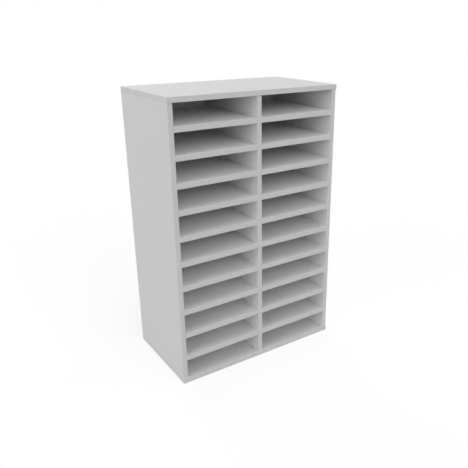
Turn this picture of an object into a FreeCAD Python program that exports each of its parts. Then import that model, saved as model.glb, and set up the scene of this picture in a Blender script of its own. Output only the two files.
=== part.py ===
import FreeCAD, Part
import os
from FreeCAD import Vector

# Pigeonhole mail sorter: two columns of fixed shelves in a carcass of melamine-faced board.
# Millimetres. +Z is up, the openings face -Y and +X is to the viewer's right. The origin is the
# middle of the footprint, on the surface that the sorter stands on.

# Boards and openings
board = 16.0                # thickness of every melamine-faced board
rows = 11                   # pigeonholes in one column
opening_width = 276.0       # clear width of one pigeonhole
opening_height = 65.3       # clear height of one pigeonhole
inside_depth = 328.0        # from the front of the sides to the back panel
front_overhang = 3.0        # top and base reach this far in front of the sides

# Back panel, let into a rebate all round
back_thickness = 3.0
back_recess = 1.0           # from the rear edges of the carcass in to the back panel
back_lap = 8.0              # how far the back panel reaches behind the carcass boards
back_fit = 0.5              # gap between the back panel's edge and its rebate

# Plastic edging on every board edge that shows from the front or the side
edging = 1.0                # thickness of the strip
edging_arris = 0.5          # bevel on its two long outer edges

# Stopped housings: routed grooves that hold the ends of the shelves and of the divider
housing_depth = 4.0
housing_stop = 12.0         # from the front of the sides to the round end of the groove
housing_fit = 0.2           # how much wider the groove is than the board in it
tongue_gap = 0.3            # from the end of a board to the bottom of its groove

# Glued dowels that join the sides to the top and the base
dowel_diameter = 8.0
dowel_length = 30.0
dowel_in_panel = 10.0       # length of the dowel inside the top or the base
dowel_fit = 0.1             # glue gap around the dowel
dowel_end_gap = 1.0         # glue gap at each end of the dowel
dowel_inset = 45.0          # from the front of the sides and from the back panel
dowels_per_joint = 3

# Wire staples that hold the back panel
staple_crown = 12.8
staple_leg = 14.0
wire_width = 1.0
wire_thickness = 0.7
staple_row_step = 2         # the uprights have a staple behind every second row
staples_per_opening = 2     # along the top and along the base, for each column

# Overall sizes and the planes that the pieces share
width = 2 * opening_width + 3 * board
height = rows * opening_height + (rows + 1) * board
depth = front_overhang + inside_depth + back_thickness + back_recess
row_pitch = opening_height + board

outer_x = width / 2
inner_x = outer_x - board                       # inside face of a side
divider_x = board / 2                           # face of the centre divider
panel_front = -depth / 2                        # front of the top and the base
side_front = panel_front + front_overhang       # front of sides, divider and shelves
back_face = side_front + inside_depth           # inside face of the back panel
rear = depth / 2
under_top = height - board

housing_radius = (board + housing_fit) / 2
tongue_start = side_front + housing_stop + housing_radius
shelf_levels = [row_pitch * row for row in range(1, rows)]      # undersides of the shelves
row_middles = [board + row_pitch * row + opening_height / 2 for row in range(rows)]
columns = {"left": -1, "right": 1}              # the side of the divider that each lies on

RIGHTWARD = Vector(1, 0, 0)
UPWARD = Vector(0, 0, 1)


def prism(points, sweep):
    """Solid with straight sides, swept from the closed outline through the points."""
    outline = Part.makePolygon(points + points[:1])
    return Part.Face(outline).extrude(sweep)


def box(x, y, z):
    """Solid between the two given values on each axis."""
    corner = Vector(x[0], y[0], z[0])
    return Part.makeBox(x[1] - x[0], y[1] - y[0], z[1] - z[0], corner)


def mirrored(shape, normal, centre=Vector(0, 0, 0)):
    return shape.mirror(centre, normal)


def spread(first, last, count):
    """Evenly spaced values from first to last."""
    step = (last - first) / max(count - 1, 1)
    return [first + step * index for index in range(count)]


# ---- Edging ---------------------------------------------------------------------------------

def edging_strip(corner, across, out, along):
    """Plastic strip on a board's edge. corner is one end of the edge, across goes over the
    board's thickness, out points away from the board and along is the strip's length."""
    arris = min(edging_arris, 0.9 * edging)
    bevel_out = out * (arris / out.Length)
    bevel_across = across * (arris / across.Length)
    section = [
        corner,
        corner + out - bevel_out,
        corner + out + bevel_across,
        corner + out + across - bevel_across,
        corner + out + across - bevel_out,
        corner + across,
    ]
    return prism(section, along)


def upright_edging(x):
    """Front edging of a side or of the divider, whose lower x is given."""
    corner = Vector(x, side_front + edging, board)
    along = Vector(0, 0, under_top - board)
    return edging_strip(corner, Vector(board, 0, 0), Vector(0, -edging, 0), along)


def panel_front_edging():
    """Front edging of the top panel, which covers the ends of the two end strips."""
    corner = Vector(-outer_x, panel_front + edging, under_top)
    along = Vector(width, 0, 0)
    return edging_strip(corner, Vector(0, 0, board), Vector(0, -edging, 0), along)


def panel_end_edging():
    """Edging on the left end of the top panel."""
    corner = Vector(-outer_x + edging, panel_front + edging, under_top)
    along = Vector(0, depth - edging, 0)
    return edging_strip(corner, Vector(0, 0, board), Vector(-edging, 0, 0), along)


def shelf_edging(level):
    """Front edging of a left shelf, which butts between the side and the divider."""
    corner = Vector(-inner_x, side_front + edging, level)
    along = Vector(opening_width, 0, 0)
    return edging_strip(corner, Vector(0, 0, board), Vector(0, -edging, 0), along)


# ---- Dowels ---------------------------------------------------------------------------------

dowel_x = inner_x + board / 2                   # middle of a side's thickness
dowel_rows = spread(side_front + dowel_inset, back_face - dowel_inset, dowels_per_joint)
dowel_places = [(x, y) for x in (-dowel_x, dowel_x) for y in dowel_rows]


def top_dowels():
    """Dowels that stand across the joints under the top panel."""
    low = under_top + dowel_in_panel - dowel_length
    radius = dowel_diameter / 2
    pins = [Part.makeCylinder(radius, dowel_length, Vector(x, y, low)) for x, y in dowel_places]
    return Part.makeCompound(pins)


def dowel_holes(low, high):
    """Drills for the dowels of both sides, between two heights."""
    radius = dowel_diameter / 2 + dowel_fit
    return [Part.makeCylinder(radius, high - low, Vector(x, y, low)) for x, y in dowel_places]


def panel_holes():
    """Blind holes in the underside of the top panel."""
    return dowel_holes(under_top, under_top + dowel_in_panel + dowel_end_gap)


def side_holes():
    """Blind holes in both ends of the sides."""
    reach = dowel_length - dowel_in_panel + dowel_end_gap
    return dowel_holes(under_top - reach, under_top) + dowel_holes(board, board + reach)


# ---- Staples in the back panel --------------------------------------------------------------

lap_middle_x = inner_x + back_lap / 2           # middle of the rebate's land in a side
lap_middle_z = under_top + back_lap / 2         # and in the top panel


def staple(x, z, crown_along):
    """Wire staple driven forwards through the back panel, its crown on the panel's rear face."""
    crown_face = back_face + back_thickness
    half = crown_along * (staple_crown / 2)
    half_inner = crown_along * (staple_crown / 2 - wire_thickness)
    wire = crown_along.cross(Vector(0, 1, 0)) * wire_width
    middle = Vector(x, 0, z) - wire / 2
    tip = Vector(0, crown_face - staple_leg, 0)
    under_crown = Vector(0, crown_face, 0)
    crown_top = Vector(0, crown_face + wire_thickness, 0)
    section = [
        middle - half + tip,
        middle - half + crown_top,
        middle + half + crown_top,
        middle + half + tip,
        middle + half_inner + tip,
        middle + half_inner + under_crown,
        middle - half_inner + under_crown,
        middle - half_inner + tip,
    ]
    return prism(section, wire)


def back_staples():
    """Staples in the sides and the divider, in the top panel and in the base panel."""
    staples = []
    for x in (-lap_middle_x, 0.0, lap_middle_x):
        staples += [staple(x, z, UPWARD) for z in row_middles[::staple_row_step]]
    for side in columns.values():
        middle = side * (divider_x + opening_width / 2)
        for index in range(staples_per_opening):
            share = (index + 0.5) / staples_per_opening - 0.5
            x = middle + share * opening_width
            staples += [staple(x, z, RIGHTWARD) for z in (lap_middle_z, height - lap_middle_z)]
    return Part.makeCompound(staples)


# ---- Carcass boards -------------------------------------------------------------------------

def housing(corner, across, into):
    """Cutter for one stopped housing, a groove with a round front end that runs out at the back
    panel. corner is on the board's face, at the rear of the groove's first wall. across points
    to the second wall and into points into the board, both as unit vectors."""
    over = across * housing_radius
    run = Vector(0, tongue_start - back_face, 0)
    nose = corner + run + over - Vector(0, housing_radius, 0)
    first = Part.makeLine(corner, corner + run)
    round_end = Part.Arc(corner + run, nose, corner + run + over * 2).toShape()
    second = Part.makeLine(corner + run + over * 2, corner + over * 2)
    mouth = Part.makeLine(corner + over * 2, corner)
    outline = Part.Wire([first, round_end, second, mouth])
    return Part.Face(outline).extrude(into * housing_depth)


def shelf_housings(face_x, into):
    """Housings in one board face, each with its lower wall under a shelf."""
    corners = [Vector(face_x, back_face, level) for level in shelf_levels]
    return [housing(corner, UPWARD, RIGHTWARD * into) for corner in corners]


def left_side(staples):
    """Side board: rebated for the back panel, with a housing for each shelf."""
    front = side_front + edging
    rebate_x = -inner_x - back_lap
    section = [
        Vector(-outer_x, front, board),
        Vector(-inner_x, front, board),
        Vector(-inner_x, back_face, board),
        Vector(rebate_x, back_face, board),
        Vector(rebate_x, rear, board),
        Vector(-outer_x, rear, board),
    ]
    blank = prism(section, Vector(0, 0, under_top - board))
    return blank.cut(shelf_housings(-inner_x, -1) + side_holes() + staples.Solids)


def centre_divider(staples):
    """Divider board: housings on both faces, and a tongue at the top and at the foot."""
    front = side_front + edging
    tongue = housing_depth - tongue_gap
    profile = [
        Vector(-divider_x, front, board),
        Vector(-divider_x, front, under_top),
        Vector(-divider_x, tongue_start, under_top),
        Vector(-divider_x, tongue_start, under_top + tongue),
        Vector(-divider_x, back_face, under_top + tongue),
        Vector(-divider_x, back_face, board - tongue),
        Vector(-divider_x, tongue_start, board - tongue),
        Vector(-divider_x, tongue_start, board),
    ]
    blank = prism(profile, Vector(board, 0, 0))
    grooves = shelf_housings(-divider_x, 1) + shelf_housings(divider_x, -1)
    return blank.cut(grooves + staples.Solids)


def top_panel(staples):
    """Top board: a rebate for the back panel that stops at the sides, a housing for the divider
    and holes for the dowels in the sides."""
    side = outer_x - edging
    blank = box((-side, side), (panel_front + edging, rear), (under_top, height))
    lap_x = inner_x + back_lap
    rebate = box((-lap_x, lap_x), (back_face, rear), (under_top, under_top + back_lap))
    corner = Vector(-housing_radius, back_face, under_top)
    divider_housing = housing(corner, RIGHTWARD, UPWARD)
    return blank.cut([rebate, divider_housing] + panel_holes() + staples.Solids)


def back_panel(staples):
    """Thin back panel, which lies in the rebates of the sides, the top and the base."""
    side = inner_x + back_lap - back_fit
    high = under_top + back_lap - back_fit
    sheet = box((-side, side), (back_face, back_face + back_thickness), (height - high, high))
    return sheet.cut(staples.Solids)


# ---- Shelves --------------------------------------------------------------------------------

def left_shelf(level):
    """Shelf board: square at the front, with a tongue at each end from where the housing is at
    its full width to the back panel."""
    front = side_front + edging
    tongue = housing_depth - tongue_gap
    near, far = -inner_x, -divider_x
    plan = [
        Vector(near, front, level),
        Vector(far, front, level),
        Vector(far, tongue_start, level),
        Vector(far + tongue, tongue_start, level),
        Vector(far + tongue, back_face, level),
        Vector(near - tongue, back_face, level),
        Vector(near - tongue, tongue_start, level),
        Vector(near, tongue_start, level),
    ]
    return prism(plan, Vector(0, 0, board))


# ---- The assembly ---------------------------------------------------------------------------

def base_from_top(shape):
    """The base is made as the top is, turned upside down at the foot of the carcass."""
    return mirrored(shape, UPWARD, Vector(0, 0, height / 2))


def on_side(left_shape, side):
    """A piece of the left column as it is, or its mirror image in the right column."""
    return left_shape if side < 0 else mirrored(left_shape, RIGHTWARD)


def carcass():
    staples = back_staples()
    left = left_side(staples)
    top = top_panel(staples)
    dowels = top_dowels()
    return {
        "left_side": left,
        "right_side": mirrored(left, RIGHTWARD),
        "centre_divider": centre_divider(staples),
        "top_panel": top,
        "base_panel": base_from_top(top),
        "back_panel": back_panel(staples),
        "top_dowels": dowels,
        "base_dowels": base_from_top(dowels),
        "back_staples": staples,
    }


def edgings():
    front = panel_front_edging()
    end = panel_end_edging()
    strips = {
        "top_front_edging": front,
        "top_left_edging": end,
        "top_right_edging": mirrored(end, RIGHTWARD),
        "left_side_edging": upright_edging(-outer_x),
        "right_side_edging": upright_edging(inner_x),
        "divider_edging": upright_edging(-divider_x),
    }
    for place in ("front", "left", "right"):
        strips[f"base_{place}_edging"] = base_from_top(strips[f"top_{place}_edging"])
    return strips


def shelves():
    """Shelves of both columns with their edging, numbered from the lowest up."""
    pieces = {}
    for column, side in columns.items():
        for number, level in enumerate(shelf_levels, start=1):
            name = f"shelf_{column}_{number:02d}"
            pieces[name] = on_side(left_shelf(level), side)
            pieces[f"{name}_edging"] = on_side(shelf_edging(level), side)
    return pieces


os.makedirs("parts", exist_ok=True)
for node, shape in {**carcass(), **edgings(), **shelves()}.items():
    shape.exportStep(f"parts/{node}.step")
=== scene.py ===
import math

import bpy
from mathutils import Euler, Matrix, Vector


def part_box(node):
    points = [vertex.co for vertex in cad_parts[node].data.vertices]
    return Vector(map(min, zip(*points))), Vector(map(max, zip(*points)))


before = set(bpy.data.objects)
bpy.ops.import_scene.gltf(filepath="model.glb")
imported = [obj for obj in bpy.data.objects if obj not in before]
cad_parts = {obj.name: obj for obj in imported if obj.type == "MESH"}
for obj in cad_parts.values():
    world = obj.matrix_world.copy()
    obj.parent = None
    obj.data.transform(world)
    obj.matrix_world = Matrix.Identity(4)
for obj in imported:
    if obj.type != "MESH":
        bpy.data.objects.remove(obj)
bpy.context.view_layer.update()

X, Y, Z = 0, 1, 2


# ---- Camera -----------------------------------------------------------------------------------

CAMERA_PLACE = Vector((-0.93688, -1.54469, 1.09238))
CAMERA_HEADING = math.radians(-34.738)      # turned from +Y towards +X
CAMERA_TILT = math.radians(-20.788)         # below the horizon
SENSOR_WIDTH = 36.0                         # mm
FOCAL_LENGTH = 42.302                       # mm
LENS_SHIFT = (-0.0663, -0.00265)
SIGHT_RANGE = (0.05, 200.0)                 # m, the nearest and the farthest thing that shows


def add_camera():
    data = bpy.data.cameras.new("camera")
    data.sensor_width = SENSOR_WIDTH
    data.lens = FOCAL_LENGTH
    data.shift_x, data.shift_y = LENS_SHIFT
    data.clip_start, data.clip_end = SIGHT_RANGE
    camera = bpy.data.objects.new("camera", data)
    camera.location = CAMERA_PLACE
    camera.rotation_euler = Euler((math.pi / 2 + CAMERA_TILT, 0.0, CAMERA_HEADING))
    bpy.context.scene.collection.objects.link(camera)
    bpy.context.scene.camera = camera


# ---- Shader helpers ---------------------------------------------------------------------------

WHITE = (1.0, 1.0, 1.0, 1.0)
NOISE_RANGE = (0.3, 0.7)    # where nearly all values of a noise lie
NOISE_CORE = (0.35, 0.65)   # where most of them lie


class Shader:
    """A node tree with short calls to add nodes and to join their sockets.

    Wherever a call takes a value, it also takes the socket that the value comes from."""

    def __init__(self, tree):
        self.tree = tree
        tree.nodes.clear()

    def add(self, kind, inputs=None, **settings):
        """A new node, with its inputs by name or number and its settings by name."""
        made = self.tree.nodes.new(kind)
        for name, value in settings.items():
            setattr(made, name, value)
        for key, value in (inputs or {}).items():
            self.feed(made.inputs[key], value)
        return made

    def feed(self, socket, value):
        if isinstance(value, bpy.types.NodeSocket):
            self.tree.links.new(value, socket)
        else:
            socket.default_value = value

    def math(self, operation, first, second=0.0):
        return self.add("ShaderNodeMath", {0: first, 1: second}, operation=operation).outputs[0]

    def place(self):
        """The point on the object, in metres."""
        return self.add("ShaderNodeTexCoord").outputs["Object"]

    def part(self, vector, axis):
        """A vector's part along one axis."""
        return self.add("ShaderNodeSeparateXYZ", {0: vector}).outputs[axis]

    def stretched(self, vector, lengths):
        """vector in units of lengths, so that a texture's features come out that long."""
        factors = Vector([1 / length for length in lengths])
        made = self.add("ShaderNodeVectorMath", {0: vector, 1: factors}, operation="MULTIPLY")
        return made.outputs["Vector"]

    def noise(self, vector, size, detail=2.0):
        """Even noise from 0 to 1, with features about as long as size."""
        inputs = {"Vector": vector, "Scale": 1 / size, "Detail": detail}
        return self.add("ShaderNodeTexNoise", inputs).outputs["Fac"]

    def spread(self, value, low, high, out_low=0.0, out_high=1.0):
        """value's range from low to high, mapped to the range from out_low to out_high."""
        inputs = {"Value": value, "From Min": low, "From Max": high}
        inputs |= {"To Min": out_low, "To Max": out_high}
        return self.add("ShaderNodeMapRange", inputs, clamp=True).outputs["Result"]

    def ramp(self, value, stops):
        """A colour for value, from stops of position and colour."""
        made = self.add("ShaderNodeValToRGB", {0: value})
        elements = made.color_ramp.elements
        while len(elements) < len(stops):
            elements.new(1.0)
        for element, (position, colour) in zip(elements, stops):
            element.position = position
            element.color = (*colour, 1.0)
        return made.outputs["Color"]

    def blend(self, share, first, second, kind="RGBA"):
        """first where share is 0 and second where it is 1."""
        made = self.add("ShaderNodeMix", data_type=kind)
        sockets = {s.name: s for s in made.inputs if s.enabled}
        self.feed(sockets["Factor"], share)
        self.feed(sockets["A"], first)
        self.feed(sockets["B"], second)
        return next(s for s in made.outputs if s.enabled)

    def bump(self, height, depth):
        """The normal of a surface that height, from 0 to 1, lifts by up to depth in metres."""
        inputs = {"Height": height, "Distance": depth, "Strength": 1.0}
        return self.add("ShaderNodeBump", inputs).outputs["Normal"]

    def surface(self, **inputs):
        """The Principled surface, with each input by its name with low lines for spaces."""
        named = {name.replace("_", " "): value for name, value in inputs.items()}
        made = self.add("ShaderNodeBsdfPrincipled", named)
        self.output(made.outputs[0])

    def output(self, closure):
        self.add("ShaderNodeOutputMaterial", {"Surface": closure})


def new_material(name):
    material = bpy.data.materials.new(name)
    material.use_nodes = True
    return material, Shader(material.node_tree)


def grey(level):
    return (level, level, level)


# ---- Melamine-faced chipboard -------------------------------------------------------------------

BOARD_GREY = 0.83
MATTE = 0.35                # diffuse roughness: a face darkens less where light or sight skims it
BOARD_SPECULAR = 0.14
TONE_RANGE = 0.015          # how far the print's tone drifts either way
CLOUD_SIZE = 0.12           # m, the broad part of that drift
SPECKLE_SIZE = 0.0022       # m, the fine part
SPECKLE_SHARE = 0.65
FACE_ROUGHNESS = (0.57, 0.65)
SHEEN_SIZE = 0.05           # m, how broadly the face's roughness drifts
PEARL_SIZE = 0.0012         # m, the orange peel of a pearl finish
PEARL_DEPTH = 0.000014      # m
FACE_THICKNESS = 0.0002     # m of paper and resin over the chipboard
RAW_ROUGHNESS = 0.9         # sawn chipboard
PALE_FLAKE, MID_FLAKE, DARK_FLAKE = (0.68, 0.51, 0.31), (0.50, 0.34, 0.18), (0.27, 0.15, 0.07)
FLAKE_STOPS = [(0.1, DARK_FLAKE), (0.45, MID_FLAKE), (0.85, PALE_FLAKE)]
FLAKE_LENGTH = 0.0035       # m, in the plane of the board
FLAKE_THICKNESS = 0.0009    # m
FLAKE_DEPTH = 0.00028       # m, how deep the sawn surface is pitted
FIBRE_SIZE = 0.25           # of a flake's size
FIBRE_SHARE = 0.35


def tone(shader, place, level):
    """A level that drifts a little over the surface, in broad clouds and in fine speckle."""
    clouds = shader.noise(place, CLOUD_SIZE, 3.0)
    speckle = shader.noise(place, SPECKLE_SIZE, 1.0)
    mixed = shader.blend(SPECKLE_SHARE, clouds, speckle, "FLOAT")
    low, high = level * (1 - TONE_RANGE), level * (1 + TONE_RANGE)
    return shader.ramp(shader.spread(mixed, *NOISE_CORE), [(0.0, grey(low)), (1.0, grey(high))])


def chipboard(shader, place, axis):
    """Colour and height of sawn chipboard: flakes that lie flat in the board, each of its own
    shade, and fine fibres over them. axis is the one across the board's thickness."""
    lengths = [FLAKE_LENGTH] * 3
    lengths[axis] = FLAKE_THICKNESS
    inputs = {"Vector": shader.stretched(place, lengths), "Scale": 1.0, "Randomness": 1.0}
    flakes = shader.add("ShaderNodeTexVoronoi", inputs)
    own = shader.part(flakes.outputs["Color"], X)
    fibres = shader.noise(shader.stretched(place, lengths), FIBRE_SIZE, 3.0)
    shade = shader.blend(FIBRE_SHARE, own, fibres, "FLOAT")
    return shader.ramp(shade, FLAKE_STOPS), shader.math("SUBTRACT", 1.0, flakes.outputs["Distance"])


def raw_share(shader, place, axis, boards):
    """0 on the two faces of each board and 1 on whatever is cut through its thickness.
    boards are two neighbouring nodes, which repeat along axis."""
    (low, high), (next_low, _) = [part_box(board) for board in boards]
    thickness, pitch = high[axis] - low[axis], next_low[axis] - low[axis]
    past = shader.math("SUBTRACT", shader.part(place, axis), low[axis] - FACE_THICKNESS / 2)
    within = shader.math("FLOORED_MODULO", past, pitch)
    other = shader.math("SUBTRACT", thickness + FACE_THICKNESS, within)
    inside = shader.math("MINIMUM", within, other)
    return shader.spread(inside, FACE_THICKNESS, FACE_THICKNESS * 1.5)


def board_material(name, axis, boards):
    """Melamine on the two faces of each board and raw chipboard elsewhere, such as on its rear
    edge and in its grooves."""
    material, shader = new_material(name)
    place = shader.place()
    raw = raw_share(shader, place, axis, boards)
    core, flake_height = chipboard(shader, place, axis)
    pearl = shader.noise(place, PEARL_SIZE, 2.0)
    pearl_height = shader.math("MULTIPLY", pearl, PEARL_DEPTH / FLAKE_DEPTH)
    sheen = shader.spread(shader.noise(place, SHEEN_SIZE, 3.0), *NOISE_RANGE, *FACE_ROUGHNESS)
    height = shader.blend(raw, pearl_height, flake_height, "FLOAT")
    shader.surface(
        Base_Color=shader.blend(raw, tone(shader, place, BOARD_GREY), core),
        Roughness=shader.blend(raw, sheen, RAW_ROUGHNESS, "FLOAT"),
        Diffuse_Roughness=MATTE,
        Specular_IOR_Level=BOARD_SPECULAR,
        Normal=shader.bump(height, FLAKE_DEPTH),
    )
    return material


# ---- Plastic edging -----------------------------------------------------------------------------

EDGE_GREY = 0.782
EDGE_SPECULAR = 0.18
EDGE_ROUGHNESS = (0.50, 0.56)
DRAW_LENGTH = 0.06          # m, the faint lines that the strip is extruded with
DRAW_WIDTH = 0.0007
DRAW_DEPTH = 0.000003


def edging_material(name, axis):
    """Extruded plastic strip, with faint lines along axis."""
    material, shader = new_material(name)
    place = shader.place()
    lengths = [DRAW_WIDTH] * 3
    lengths[axis] = DRAW_LENGTH
    lines = shader.noise(shader.stretched(place, lengths), 1.0, 2.0)
    shader.surface(
        Base_Color=tone(shader, place, EDGE_GREY),
        Roughness=shader.spread(lines, *NOISE_RANGE, *EDGE_ROUGHNESS),
        Diffuse_Roughness=MATTE,
        Specular_IOR_Level=EDGE_SPECULAR,
        Normal=shader.bump(lines, DRAW_DEPTH),
    )
    return material


# ---- Back panel ---------------------------------------------------------------------------------

PAINT_GREY = 0.80
PAINT_ROUGHNESS = 0.62
PAINT_DEPTH = 0.000006      # m, the fibres that show through the paint
BROWN, PALE_BROWN = (0.26, 0.15, 0.075), (0.36, 0.22, 0.12)
BROWN_STOPS = [(0.32, BROWN), (0.68, PALE_BROWN)]
BARE_ROUGHNESS = (0.72, 0.85)
FELT_SIZE = 0.0025          # m, the matted fibres
MOTTLE_SIZE = 0.07          # m
MOTTLE_SHARE = 0.2
SCREEN_PITCH = 0.0016       # m, the mesh that the board was pressed on
SCREEN_DEPTH = 0.00006


def screen_print(shader, place):
    """Height of the mesh print, from 0 to 1."""
    waves = []
    for axis in (X, Z):
        turns = shader.math("MULTIPLY", shader.part(place, axis), math.tau / SCREEN_PITCH)
        waves.append(shader.math("SINE", turns))
    return shader.spread(shader.math("MULTIPLY", *waves), -1.0, 1.0)


def back_material():
    """Hardboard, painted on the side that faces the pigeonholes. Its rear side is bare and keeps
    the print of the mesh that it was pressed on."""
    material, shader = new_material("painted_hardboard")
    place = shader.place()
    low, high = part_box("back_panel")
    middle = (low[Y] + high[Y]) / 2
    bare = shader.math("GREATER_THAN", shader.part(place, Y), middle)

    fibres = shader.noise(place, FELT_SIZE, 4.0)
    clouds = shader.noise(place, MOTTLE_SIZE, 3.0)
    brown = shader.ramp(shader.blend(MOTTLE_SHARE, fibres, clouds, "FLOAT"), BROWN_STOPS)
    rough = shader.spread(fibres, *NOISE_RANGE, *BARE_ROUGHNESS)
    paint_height = shader.math("MULTIPLY", fibres, PAINT_DEPTH / SCREEN_DEPTH)
    height = shader.blend(bare, paint_height, screen_print(shader, place), "FLOAT")
    shader.surface(
        Base_Color=shader.blend(bare, tone(shader, place, PAINT_GREY), brown),
        Roughness=shader.blend(bare, PAINT_ROUGHNESS, rough, "FLOAT"),
        Diffuse_Roughness=MATTE,
        Specular_IOR_Level=BOARD_SPECULAR,
        Normal=shader.bump(height, SCREEN_DEPTH),
    )
    return material


# ---- Dowels and staples -------------------------------------------------------------------------

BEECH, DARK_BEECH = (0.60, 0.42, 0.25), (0.44, 0.27, 0.14)
BEECH_ROUGHNESS = (0.6, 0.75)
GRAIN_LENGTHS = (0.0008, 0.0008, 0.02)      # m, along X, Y and Z. The dowels stand along Z
FLECK_LENGTHS = (0.0004, 0.0004, 0.003)
DARK_RANGE = (0.22, 0.40)                   # of grain times flecks, from pale to dark
GRAIN_DEPTH = 0.00005                       # m
ZINC, DULL_ZINC = grey(0.60), grey(0.44)
ZINC_ROUGHNESS = (0.28, 0.45)
DULL_SIZE = 0.0015                          # m
SCRATCH_SIZE, SCRATCH_DEPTH = 0.0003, 0.00001


def dowel_material():
    """Beech, with the grain and its short dark flecks along the dowel."""
    material, shader = new_material("beech")
    place = shader.place()
    grain = shader.noise(shader.stretched(place, GRAIN_LENGTHS), 1.0, 3.0)
    flecks = shader.noise(shader.stretched(place, FLECK_LENGTHS), 1.0, 1.0)
    dark = shader.spread(shader.math("MULTIPLY", grain, flecks), *DARK_RANGE)
    shader.surface(
        Base_Color=shader.ramp(dark, [(0.0, BEECH), (1.0, DARK_BEECH)]),
        Roughness=shader.spread(grain, *NOISE_RANGE, *BEECH_ROUGHNESS),
        Normal=shader.bump(grain, GRAIN_DEPTH),
    )
    return material


def staple_material():
    """Zinc-plated wire, drawn and a little dull."""
    material, shader = new_material("zinc_wire")
    place = shader.place()
    dull = shader.spread(shader.noise(place, DULL_SIZE, 3.0), *NOISE_CORE)
    shader.surface(
        Base_Color=shader.ramp(dull, [(0.0, ZINC), (1.0, DULL_ZINC)]),
        Metallic=1.0,
        Roughness=shader.spread(dull, 0.0, 1.0, *ZINC_ROUGHNESS),
        Normal=shader.bump(shader.noise(place, SCRATCH_SIZE), SCRATCH_DEPTH),
    )
    return material


# ---- Light and stage --------------------------------------------------------------------------

FILL = 0.05                 # the studio's even light, from all round
# Soft boxes, drawn as broad bright areas of the sky: azimuth from +X towards +Y and elevation in
# degrees, brightness at the middle, and sharpness
SOFT_BOXES = {
    "front": (-87.0, 23.0, 2.17, 12.5),
    "left": (-172.0, 4.0, 3.59, 8.1),
    "above": (-40.0, 77.0, 2.06, 10.8),
    "rear": (84.0, 3.0, 3.9, 12.0),
    "right": (2.0, 3.0, 2.1, 12.0),
}
FLOOR_HALF = 30.0           # m
FLOOR_GREY = 0.45           # the floor's own colour, which lights the object from below
FLOOR_SHADE = 0.35          # how much of the floor's shadow shows to the camera
FLOOR_LIGHT = 0.71          # what a unit of grey would show where the floor is lit fully


def seen_directly(shader):
    """1 for a ray that comes from the camera, or from a mirror or glass in its view."""
    path = shader.add("ShaderNodeLightPath").outputs
    mirrored = shader.math("MAXIMUM", path["Is Glossy Ray"], path["Is Transmission Ray"])
    return shader.math("MAXIMUM", path["Is Camera Ray"], mirrored)


def by_sight(shader, unseen, seen):
    """The unseen closure for the light on the object, and the seen one for the camera."""
    inputs = {0: seen_directly(shader), 1: unseen.outputs[0], 2: seen.outputs[0]}
    return shader.add("ShaderNodeMixShader", inputs).outputs[0]


def soft_box(shader, direction, azimuth, elevation, brightness, sharpness):
    """Brightness of one soft box in a direction. It falls as a power of the cosine."""
    flat = math.cos(math.radians(elevation))
    towards = Vector((
        flat * math.cos(math.radians(azimuth)),
        flat * math.sin(math.radians(azimuth)),
        math.sin(math.radians(elevation)),
    ))
    joined = shader.add("ShaderNodeVectorMath", {0: direction, 1: towards}, operation="DOT_PRODUCT")
    cosine = shader.math("MAXIMUM", joined.outputs["Value"], 0.0)
    return shader.math("MULTIPLY", shader.math("POWER", cosine, sharpness), brightness)


def add_sky():
    world = bpy.data.worlds.new("sky")
    world.use_nodes = True
    bpy.context.scene.world = world
    shader = Shader(world.node_tree)
    direction = shader.add("ShaderNodeTexCoord").outputs["Generated"]
    level = FILL
    for box in SOFT_BOXES.values():
        level = shader.math("ADD", soft_box(shader, direction, *box), level)
    light = shader.add("ShaderNodeBackground", {"Color": WHITE, "Strength": level})
    white = shader.add("ShaderNodeBackground", {"Color": WHITE, "Strength": 1.0})
    shader.add("ShaderNodeOutputWorld", {"Surface": by_sight(shader, light, white)})


def floor_material():
    """Pale floor: to the eye it is white where it is lit fully, and keeps the object's shadow."""
    material, shader = new_material("floor")
    plain = shader.add("ShaderNodeBsdfDiffuse", {"Color": (*grey(FLOOR_GREY), 1.0)})
    shaded = shader.add("ShaderNodeBsdfDiffuse", {"Color": (*grey(FLOOR_SHADE), 1.0)})
    strength = 1.0 - FLOOR_SHADE * FLOOR_LIGHT
    glow = shader.add("ShaderNodeEmission", {"Color": WHITE, "Strength": strength})
    pale = shader.add("ShaderNodeAddShader", {0: shaded.outputs[0], 1: glow.outputs[0]})
    shader.output(by_sight(shader, plain, pale))
    return material


def add_floor():
    corners = [(-1, -1), (1, -1), (1, 1), (-1, 1)]
    mesh = bpy.data.meshes.new("floor")
    mesh.from_pydata([(x * FLOOR_HALF, y * FLOOR_HALF, 0.0) for x, y in corners], [], [(0, 1, 2, 3)])
    mesh.materials.append(floor_material())
    floor = bpy.data.objects.new("floor", mesh)
    bpy.context.scene.collection.objects.link(floor)


# ---- Assembly ---------------------------------------------------------------------------------

def node_materials():
    """The material of each CAD node, by the node's name."""
    level = board_material("level_board", Z, ("base_panel", "shelf_left_01"))
    upright = board_material("upright_board", X, ("left_side", "centre_divider"))
    strips = [edging_material(f"edging_along_{letter}", axis) for axis, letter in enumerate("xyz")]
    special = {
        "back_panel": back_material(),
        "top_dowels": dowel_material(),
        "back_staples": staple_material(),
    }
    special["base_dowels"] = special["top_dowels"]
    chosen = {}
    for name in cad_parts:
        low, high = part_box(name)
        size = [b - a for a, b in zip(low, high)]
        if name in special:
            chosen[name] = special[name]
        elif name.endswith("_edging"):
            chosen[name] = strips[size.index(max(size))]
        elif min(size) == size[X]:
            chosen[name] = upright
        else:
            chosen[name] = level
    return chosen


def dress_nodes():
    for name, material in node_materials().items():
        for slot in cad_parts[name].material_slots:
            slot.material = material


add_camera()
add_sky()
add_floor()
dress_nodes()
bpy.context.scene.view_settings.view_transform = "Standard"
